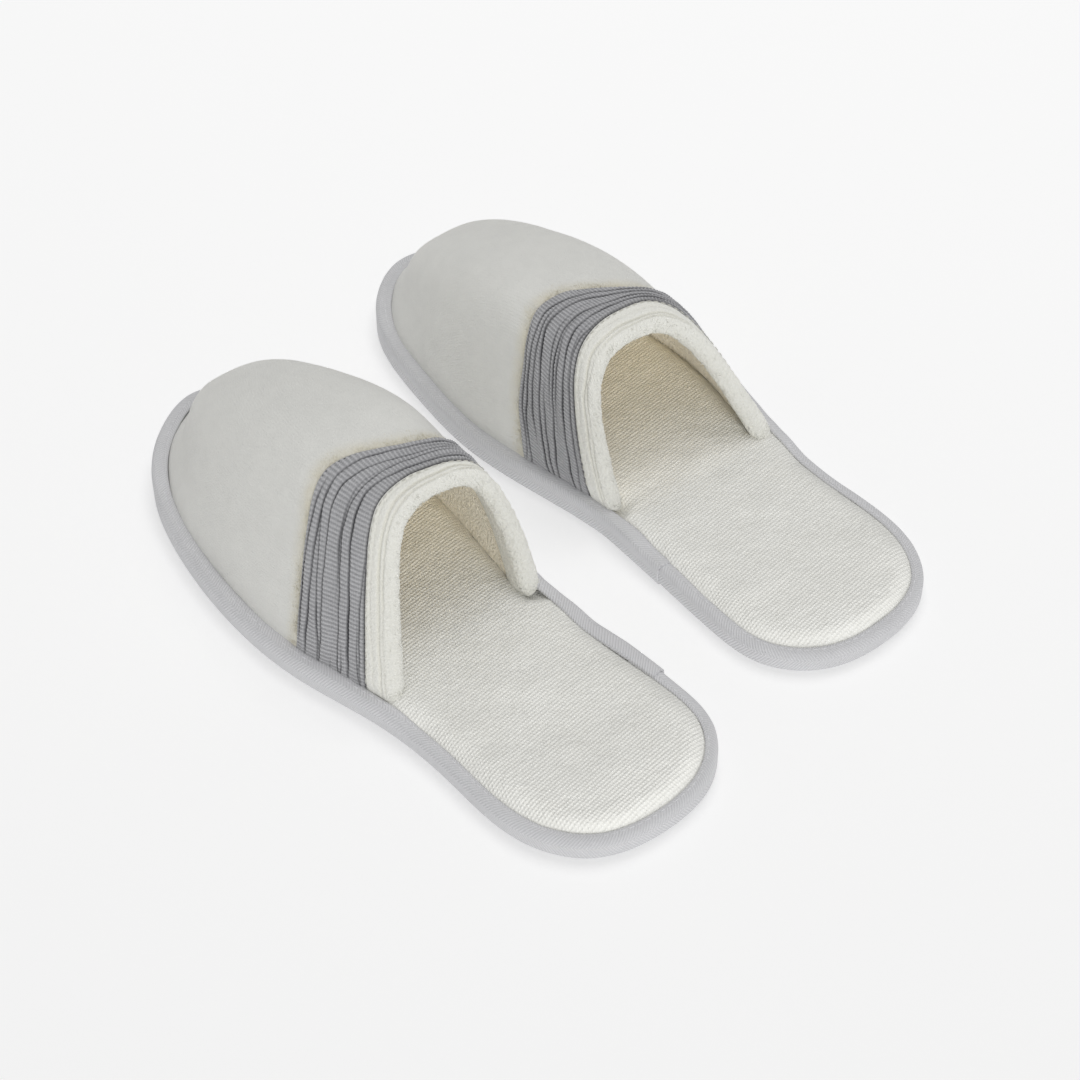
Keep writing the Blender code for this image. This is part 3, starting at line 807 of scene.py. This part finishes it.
def make_tape():
    """The binding tape: one long folded strip, whose last stretch laps over its first one."""
    along = np.linspace(0, OUTLINE_LENGTH + LAP, 860)
    centres, insides = (outline_at(lap_run() + along, inset) for inset in (0.0, 1.0))
    points, uv = [], []
    for here, centre, inside in zip(along, centres, insides):
        over = TAPE * 0.8 * smooth_step(here, OUTLINE_LENGTH - 24, OUTLINE_LENGTH - 2)
        full = TAPE_FULLNESS[side] * bump(centre[1], 80, 45) * (centre[0] < 0)
        flange = TAPE_FLANGE + 1.3 * smooth_step(centre[1], 98, 125) + 0.8 * full
        wide = 0.9 * full + TOE_TAPE_OUT * smooth_step(centre[1], *TOE_TAPE_Y)
        path = tape_profile(tape_top(centre[1]) + over + 0.3 * full, over + wide, flange)
        tangent = unit(np.gradient(path, axis=0))
        under = path - np.column_stack([-tangent[:, 1], tangent[:, 0]]) * TAPE
        ring = np.concatenate([path, under[::-1]])
        points.append(np.column_stack([centre + (inside - centre) * ring[:, :1], ring[:, 1]]))
        across = run_along(path)
        across = np.append(across, across[::-1])
        uv.append(np.column_stack([np.full(len(ring), here), across]))
    points = np.array(points)
    wander = noise(points, 14) * 0.28 + noise(points + 50, 5) * 0.12
    points[..., 2] += wander * smooth_step(points[..., 2], 1.0, 4.0)
    rows, columns = points.shape[:2]
    faces = grid_faces(rows, columns, close_columns=True)
    for cap, turn in ((0, -1), ((rows - 1) * columns, 1)):
        for j in range(columns // 2 - 1):
            corners = (j, j + 1, columns - 2 - j, columns - 1 - j)
            faces.append([cap + corner for corner in corners[::turn]])
    made = weld(make_mesh("binding_tape_strip", points, faces, "tape", np.array(uv)))
    settle(made, "binding_tape", "binding_tape")


def make_stitches(name, look, node, ends, radius):
    """Many short stitches, each a rounded bead between two points."""
    rings, around = 5, 6
    turns = math.tau * np.arange(around)[:, None] / around
    points, faces = [], []
    for a, b in ends:
        axis = unit(b - a)
        side_way = unit(np.cross(axis, [0, 0, 1.0]))
        ring = side_way * np.cos(turns) + np.cross(side_way, axis) * np.sin(turns)
        base = len(points) * around
        for share in np.linspace(0, 1, rings):
            fat = radius * (0.35 + 0.65 * math.sin(math.pi * share) ** 0.5)
            points.append(a + (b - a) * share + ring * fat)
        faces += grid_faces(rings, around, base, close_columns=True)
        faces.append([*range(base, base + around)][::-1])
        faces.append([*range(base + (rings - 1) * around, base + rings * around)])
    settle(make_mesh(name, np.array(points), faces, look), "sewing_thread", node)


def make_binding_stitches():
    """Stitches along the tape's upper flange."""
    pitch, length, inset = 3.4, 2.6, TAPE_FLANGE - 1.3
    count = int(OUTLINE_LENGTH / pitch)
    begin = np.arange(count) * OUTLINE_LENGTH / count
    run = np.stack([begin, begin + length], 1)
    flat = outline_at(lap_run() + run, inset)
    z = tape_top(flat[..., 1]) - 0.16 + (run < LAP) * TAPE * 0.8
    ends = np.dstack([flat, z])
    make_stitches("binding_stitches", "tape_thread", "binding_thread", ends, 0.24)


# ---- Toe cover ----

def make_vamp():
    rows, columns, under_columns = 240, 210, 50
    toe_y = LENGTH - CREASE
    coarse_angle = np.linspace(0, np.pi, 39)
    coarse_y = cover_y(coarse_angle, 35, toe_y)
    held = coarse_y < band_front(coarse_angle)[:, None] + 1
    held[:2] = held[-2:] = held[:, -1:] = True
    moved = blow_up(vault(coarse_angle[:, None], coarse_y, 0.0), held, pressure=2.2, shrink=-0.012,
                    cap=2.2, turn=-1)
    angle = np.linspace(0, np.pi, rows)
    y = cover_y(angle, columns, toe_y)
    base = vault(angle[:, None], y, 0.0)
    normal = outward_normals(base)
    arch = np.sin(angle)[:, None]
    past = y - band_front(angle)[:, None]
    out = 0.6 * (resize_grid(soften(moved, 6), rows, columns) * normal).sum(-1)
    out = out * smooth_step(past, 0, 12) * smooth_step(arch, 0.05, 0.3)
    ease = noise(base, 30) * 0.7 + noise(base + 90, 13) * 0.25
    arc = run_along(base)
    ribs = np.sin(math.tau * arc / 2.3 + noise(base, 12)) * 0.05 * bump(past, 6, 16)
    pucker = noise(np.dstack([arc, past * 0.25, arc * 0]), 4.5) * 0.35 * bump(past, 2, 12)
    pile = noise(base + 11, 1.6) * 0.05
    # The tint paints warm shade on the vamp, strongest just under the band's front edge and gone 8
    # mm ahead of it
    tint = bump(past, -1, 9) * (0.8 + 0.3 * noise(base + 5, 2.5))
    fluff = (noise(base + 40, 1.3) * 0.28 + 0.25) * bump(past, 0.5, 4.5)
    offset = (out + ease + pucker + fluff) * smooth_step(arch, 0.0, 0.12) + ribs + pile
    outer = base + normal * (offset * smooth_step(past, -1.5, 0.5))[..., None]
    inner = vault(angle[:, None], cover_y(angle, under_columns, toe_y), VAMP + 0.2)
    insets = (MARGIN_EDGE, 3.6, TAPE_FLANGE + 0.2)
    grids = []
    for grid, z in ((outer, VAMP_FOOT - 0.2), (inner, VAMP_FOOT - 0.8)):
        before = [margin_line(grid[0], inset, z) for inset in insets]
        after = [margin_line(grid[-1], inset, z) for inset in insets[::-1]]
        grids.append(np.array([*before, *grid, *after]))
    pad = len(insets)
    weave = np.pad(np.dstack([arc, past, tint]), ((pad, pad), (0, 0), (0, 0)), mode="edge")
    made = closed_sheet("vamp_cover", *grids, "vamp", weave[..., :2],
                        np.clip(weave[..., 2], 0, 1))
    settle(made, "vamp_velour", "vamp")


def margin_line(foot, inset, z):
    """A row of a layer's flat margin: the foot's points moved out to an inset of the outline."""
    flat = foot[:, :2]
    nearest = ((flat[:, None] - OUTLINE) ** 2).sum(-1).argmin(1)
    moved = flat - INWARD[nearest] * (edge_distance(flat) - inset)[:, None]
    return np.column_stack([moved, np.full(len(moved), z)])


def make_layer(name, slot, node, depth, thickness, rows, columns, texture=None):
    """A layer under the vamp, as a closed sheet: its seen side and its hidden one."""
    angle = np.linspace(0, np.pi, rows)
    grids = []
    for inset, count in zip((depth + thickness, depth), columns):
        y = cover_y(angle, count, LENGTH - CREASE - inset)
        grids.append(vault(angle[:, None], y, inset))
    if texture:
        keep = smooth_step(np.sin(angle), 0.0, 0.1)[:, None, None]
        grids[0] = grids[0] - outward_normals(grids[0]) * texture(grids[0])[..., None] * keep
    return settle(closed_sheet(name, *grids, node), slot, node)


def make_interlining():
    made = make_layer("interlining_sheet", "interlining_foam", "interlining", VAMP + GAP,
                      INTERLINING, 60, (50, 50))


def make_lining():
    def terry_bumps(points):
        wave = np.sin(math.tau / ROW_PITCH * points[..., 1] + 0.8 * noise(points, 5)) * 0.1
        return noise(points + 20, 1.4) * 0.2 + noise(points, 18) * 0.5 + wave + 0.2

    made = make_layer("lining_cloth", "lining_terry", "lining", VAMP + INTERLINING + 2 * GAP,
                      LINING, 190, (170, 40), terry_bumps)


# ---- Collar and band ----

def foot_share(angle):
    """0 where the tape holds a piece down at the sole, 1 a little higher up."""
    return smooth_step(np.sin(angle), math.sin(FOOT_ANGLE), math.sin(math.radians(17)))


def band_creases(angle):
    """Each crease of the band: its place across the band, as a share, its depth and its lean."""
    rng = np.random.default_rng(SEEDS[side]["creases"])
    for share, depth, whole in (
        (0.05, 0.8, True), (0.13, 0.8, False), (0.21, 1.0, True), (0.30, 0.8, False),
        (0.38, 1.0, True), (0.46, 0.8, False), (0.54, 0.9, False), (0.61, 1.0, True),
        (0.69, 0.8, False), (0.76, 0.9, False), (0.84, 0.9, True), (0.92, 0.8, False),
    ):
        path = share
        for turns, reach in ((1.3, 0.032), (2.9, 0.026), (6.5, 0.014), (14, 0.007), (31, 0.003)):
            turn = turns * rng.uniform(0.8, 1.25) * angle
            path = path + reach * np.sin(turn + rng.uniform(0, math.tau))
        fade = np.sin(rng.uniform(1.8, 4.2) * angle + rng.uniform(0, math.tau))
        ripple = 0.12 * np.sin(rng.uniform(9, 15) * angle + rng.uniform(0, math.tau))
        strength = 0.88 + ripple if whole else np.clip(0.45 + 1.2 * fade, 0, 1) * (0.9 + ripple)
        strength = strength * depth * (1 - (0.3 if whole else 0.75) * np.sin(angle) ** 8)
        yield path, strength, rng.choice([-1.0, 1.0], p=[0.3, 0.7])


def make_band():
    rows, columns, under_columns = 760, 116, 6
    angle = np.linspace(FOOT_ANGLE, np.pi - FOOT_ANGLE, rows)[:, None]
    back, front = collar_front(angle) + 0.3, band_front(angle)
    width = front - back
    t, under_t = (np.linspace(0, 1, count)[None] for count in (columns, under_columns))
    base, inner = (vault(angle, back + width * share, -GAP) for share in (t, under_t))
    arc = run_along(base)
    middle_arc = arc[:, columns // 2:columns // 2 + 1]
    groove, turn = np.zeros_like(arc), np.zeros_like(arc)
    height = np.ones_like(arc)
    for number, (path, strength, over) in enumerate(band_creases(angle)):
        away = (t - path) * width
        groove = np.maximum(groove, strength * np.exp(-(away / 0.42) ** 2))
        ahead = smooth_step(away * over, -0.35, 0.35)
        height = height + strength * (0.62 * ahead + 0.12) * np.exp(-np.abs(away) / 2.4)
        turn = turn + math.sin(2.3 * number) * 0.45 * strength * smooth_step(away, -0.3, 0.3)
    spread = noise(np.dstack([middle_arc * 0.25 + 0 * t, t * width, 0 * arc]), 3.2)
    height = np.minimum(height, 2.1) + 0.28 * spread
    slant = 0.12 * np.sin(2.2 * angle + SLANT_TURN[side])
    rib_turn = middle_arc / RIB_PITCH + slant * t * width + turn + 0.2 * noise(base, 8)
    rib = np.sin(math.tau * rib_turn)
    height = height + 0.14 * rib * (1 - groove) + noise(base + 4, 0.8) * 0.07 - 1.05 * groove
    edge_down = smooth_step(t * width, -0.2, 0.7) * smooth_step((1 - t) * width, -0.2, 0.9)
    held = 0.30 + 0.70 * foot_share(angle)
    height = np.maximum(height, 0.35) * held * (0.3 + 0.7 * edge_down)
    outer = base + outward_normals(base) * height[..., None]
    # The tint paints shade: dark in the creases' grooves and along the back edge, where the band
    # meets the collar
    tint = np.clip(groove * 1.2 - 0.15, 0, 1)
    tint = np.maximum(tint, 0.8 * (1 - smooth_step(t * width, 0.0, 0.7)))
    made = closed_sheet("band_gathered", outer, inner, "band",
                        np.dstack([rib_turn, t * width]), tint)
    settle(made, "band_knit", "band")


def collar_section(edge, front, share, samples):
    """The rolled collar's section: (y, inset) pairs of its skin and of its hidden back.

    The skin runs from the front edge of the outer flap over the lip to the inner flap's end.  The
    third result is how far each of the skin's points lies from the lip's beginning.
    """
    inside = LAYERS + GAP
    over = -GAP - 0.35 - 1.45 * share
    roll = ROLL * (0.72 + 0.28 * share)
    lip = [(edge - 0.4 - roll * math.cos(a), ROLL_DEPTH + roll * math.sin(a))
           for a in np.radians(np.linspace(-68, 78, 9))]
    knots = np.array([(front + 0.2, over * 0.35), (front - 0.7, over * 0.9),
                      ((front + edge) / 2 + 0.3, over), (edge + 0.9, over), *lip,
                      (edge + 4, inside + 1.7), (edge + COLLAR_TUCK, inside + 1.0)])
    run = run_along(knots)
    at = np.linspace(0, run[-1], samples)
    fine = np.column_stack([np.interp(at, run, knots[:, n]) for n in (0, 1)])
    for _ in range(10):
        fine[1:-1] = (fine[:-2] + 2 * fine[1:-1] + fine[2:]) / 4
    back = [(edge + COLLAR_TUCK, inside), (edge, inside), (edge - GAP, -GAP), (front + 0.2, -GAP)]
    return fine, np.array(back), at - run[3]


def make_collar():
    rows, samples = 540, 112
    angle = np.linspace(FOOT_ANGLE, np.pi - FOOT_ANGLE, rows)
    sections = [collar_section(*given, samples) for given in
                zip(throat_edge(angle), collar_front(angle), foot_share(angle))]
    ways, backs, places = (np.array(part) for part in zip(*sections))
    skin = vault(angle[:, None], ways[..., 0], ways[..., 1])
    tail = vault(angle[:, None], backs[..., 0], backs[..., 1])
    arc = run_along(skin)
    keep = smooth_step(np.sin(angle), math.sin(FOOT_ANGLE), 0.25)[:, None]
    flow = np.dstack([arc * 0.22, places * 0, places * 0])
    creases = np.zeros_like(arc)
    for place, depth, wide, wander in ((0.4, 1.0, 0.55, 0.5), (2.3, 0.8, 0.5, 0.8),
                                       (-2.9, 0.25, 0.6, 0.9)):
        line = place + wander * noise(flow + 10 * place, 2.0)
        fade = np.clip(0.8 + 0.5 * noise(flow + 7 * place + 50, 3.0), 0.25, 1)
        creases = np.maximum(creases, depth * fade * np.exp(-((places - line) / wide) ** 2))
    lip = smooth_step(places, 1.0, 3.0) * smooth_step(places, 17.0, 13.0)
    ribs = np.sin(math.tau * arc / 1.5 + 1.6 * noise(skin, 4)) * 0.11 * lip
    pucker = noise(np.dstack([arc * 0.8, places * 0.35, places * 0]), 1.7) * (0.08 + 0.14 * lip)
    fluffy = noise(skin + 60, 1.0) * (0.06 + 0.10 * lip) + noise(skin + 15, 2.6) * 0.15 * lip
    offset = (ribs + pucker + fluffy + 0.35 * lip - creases) * keep
    offset[:, :2] = offset[:, -2:] = 0
    # The skin's columns run from the toe to the heel, so its normals are turned round
    ring = np.concatenate([skin - outward_normals(skin) * offset[..., None], tail], axis=1)
    columns = ring.shape[1]
    centre = ring.mean(axis=1, keepdims=True)
    from_end = np.minimum(np.arange(rows), rows - 1 - np.arange(rows))
    end = 1 - smooth_step(from_end, 0, 9)[:, None, None]
    ring = centre + (ring - centre) * (1 - 0.25 * end) - [0, 0, 1.5] * end
    faces = grid_faces(rows, columns, close_columns=True)
    faces += [[*range(columns)][::-1], [*range((rows - 1) * columns, rows * columns)]]
    # The tint paints shade into the collar's creases
    tint = np.pad(np.clip(creases, 0, 1) * keep, ((0, 0), (0, tail.shape[1])))
    made = weld(make_mesh("collar_roll", ring, faces, "collar", tint=tint))
    settle(made, "collar_terry", "collar")


def surface_stitches(seam, front, height, pitch, length):
    """Stitches along the collar's or the band's seam across the instep."""
    angle = np.linspace(math.radians(12), math.pi - math.radians(12), 900)
    track = vault(angle, front(angle), -height)
    run = run_along(track)
    begin = np.arange(int(run[-1] / pitch)) * pitch
    at = np.stack([begin, begin + length], 1)
    ends = np.stack([np.interp(at, run, part) for part in track.T], -1)
    make_stitches(f"{seam}_stitches", f"{seam}_thread", f"{seam}_thread", ends, 0.2)


# ---- Loose fibres ----

def make_fibres(name, look, slot, roots, ways, length, thick, seed):
    """Short bent fibres, each a thin three-sided tuft."""
    rng = np.random.default_rng(seed)
    turns = math.tau * np.arange(3)[:, None] / 3
    points, faces = [], []
    for root, way in zip(roots, ways):
        way = unit(way + rng.normal(0, 0.45, 3))
        bend = rng.normal(0, 0.5, 3)
        size = length * rng.uniform(0.55, 1.25)
        side_way = unit(np.cross(way, rng.normal(0, 1, 3)))
        ring = (side_way * np.cos(turns) + np.cross(way, side_way) * np.sin(turns)) * thick
        base = 10 * len(points)
        tuft = []
        for k, fat in enumerate((1.0, 0.9, 0.6)):
            share = k / 3
            centre = root + way * size * share + bend * size * share * share * 0.6
            tuft.append(centre + ring * fat)
        points.append(np.concatenate([*tuft, [root + way * size + bend * size * 0.6]]))
        faces += grid_faces(3, 3, base, close_columns=True)
        faces += [[base + 6 + m, base + 6 + (m + 1) % 3, base + 9] for m in range(3)]
        faces.append([base + 2, base + 1, base])
    settle(make_mesh(name, np.array(points), faces, look), slot)


def make_fringe():
    """The velour's pile stands up in a warm fringe along the band's front edge."""
    rng = np.random.default_rng(SEEDS[side]["fringe"])
    count = 2800
    angle = rng.uniform(math.radians(7), math.pi - math.radians(7), count)
    y = band_front(angle) - 0.4 + np.abs(rng.normal(0, 2.0, count))
    roots = vault(angle, y, 0.1)
    ahead = vault(angle, y + 1, 0.1) - roots
    out = vault(angle, y, -0.9) - roots
    make_fibres("vamp_fringe", "fringe", "vamp_velour", roots, ahead * 0.4 + out,
                length=0.9, thick=0.09, seed=71)


def make_lip_loops():
    """Loose terry loops stand out along the collar's lip."""
    rng = np.random.default_rng(SEEDS[side]["loops"])
    count = 1500
    angle = rng.uniform(math.radians(10), math.pi - math.radians(10), count)
    turn = rng.uniform(-0.6, 0.95, count) * math.pi / 2
    middle = throat_edge(angle) - 0.4
    roots = vault(angle, middle - ROLL * np.cos(turn), ROLL_DEPTH + ROLL * np.sin(turn))
    ways = unit(roots - vault(angle, middle, ROLL_DEPTH))
    make_fibres("collar_loops", "collar", "collar_terry", roots, ways,
                length=0.75, thick=0.15, seed=81)


# ---- Build both slippers ----

for side in SIDES:
    noise = Noise(SEEDS[side]["noise"])
    for make in (make_outsole, make_insole, make_tape, make_binding_stitches, make_vamp,
                 make_interlining, make_lining, make_collar, make_band):
        make()
    surface_stitches("collar", lambda a: collar_front(a) - 1.3, 2.25, 3.2, 2.2)
    surface_stitches("band", lambda a: band_front(a) - 0.9, 1.0, 2.6, 1.9)
    make_fringe()
    make_lip_loops()
    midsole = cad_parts[f"{side}_midsole"].data
    midsole.materials.clear()
    midsole.materials.append(LOOKS["midsole"])


# ---- Floor, light and camera ----

FLOOR_SIZE = 6.0
FLOOR_GLOW = 0.395
WORLD_LIGHT = 0.45
LAMP_TARGET = (0, 0, 0.02)
LAMPS = (  # name, place, watts, width, the pieces it lights
    ("key", (0.6, 0.4, 1.9), 12.5, 1.3, None),
    ("front_fill", (-0.72, -1.42, 0.5), 7.5, 0.9, "all_pieces"),
    ("mouth_fill", (-0.5, -1.5, 0.42), 12, 0.9, "inside_pieces"),
)
LENS = 86.57
CAMERA_PLACE = (-0.4536, -0.5368, 0.6905)
CAMERA_TARGET = (-0.0001, -0.0097, 0)


def aim(made, place, target):
    made.location = place
    away = Vector(target) - Vector(place)
    made.rotation_euler = away.to_track_quat("-Z", "Y").to_euler()


def make_stage():
    mesh = bpy.data.meshes.new("floor")
    corners = np.array([(-1, -1, 0), (1, -1, 0), (1, 1, 0), (-1, 1, 0)]) * FLOOR_SIZE
    mesh.from_pydata(corners.tolist(), [], [(0, 1, 2, 3)])
    n = Nodes("floor_paper")
    n.finish(n.ramp(n.noise(3.0), 0.74, 0.75), 0.9)
    n.put(n.shader.inputs["Emission Color"], (1, 1, 1, 1))
    n.put(n.shader.inputs["Emission Strength"], FLOOR_GLOW)
    mesh.materials.append(n.material)
    place_object("floor", mesh)
    world = bpy.data.worlds.new("studio")
    bpy.context.scene.world = world
    world.use_nodes = True
    background = world.node_tree.nodes["Background"]
    background.inputs["Color"].default_value = (1, 1, 1, 1)
    background.inputs["Strength"].default_value = WORLD_LIGHT


def make_lamps():
    lit = {name: bpy.data.collections.new(name) for name in ("all_pieces", "inside_pieces")}
    for piece in PIECES:
        lit["all_pieces"].objects.link(piece)
        if piece.name.endswith(("insole_pad", "lining_cloth")):
            lit["inside_pieces"].objects.link(piece)
    for name, place, watts, width, only in LAMPS:
        lamp = bpy.data.lights.new(name, "AREA")
        lamp.energy = watts
        lamp.size = width
        made = place_object(name, lamp)
        if only:
            made.light_linking.receiver_collection = lit[only]
        aim(made, place, LAMP_TARGET)


def make_camera():
    camera = bpy.data.cameras.new("camera")
    camera.lens = LENS
    camera.sensor_width = 36
    made = place_object("camera", camera)
    aim(made, CAMERA_PLACE, CAMERA_TARGET)
    bpy.context.scene.camera = made
    bpy.context.scene.view_settings.view_transform = "Standard"


make_stage()
make_lamps()
make_camera()
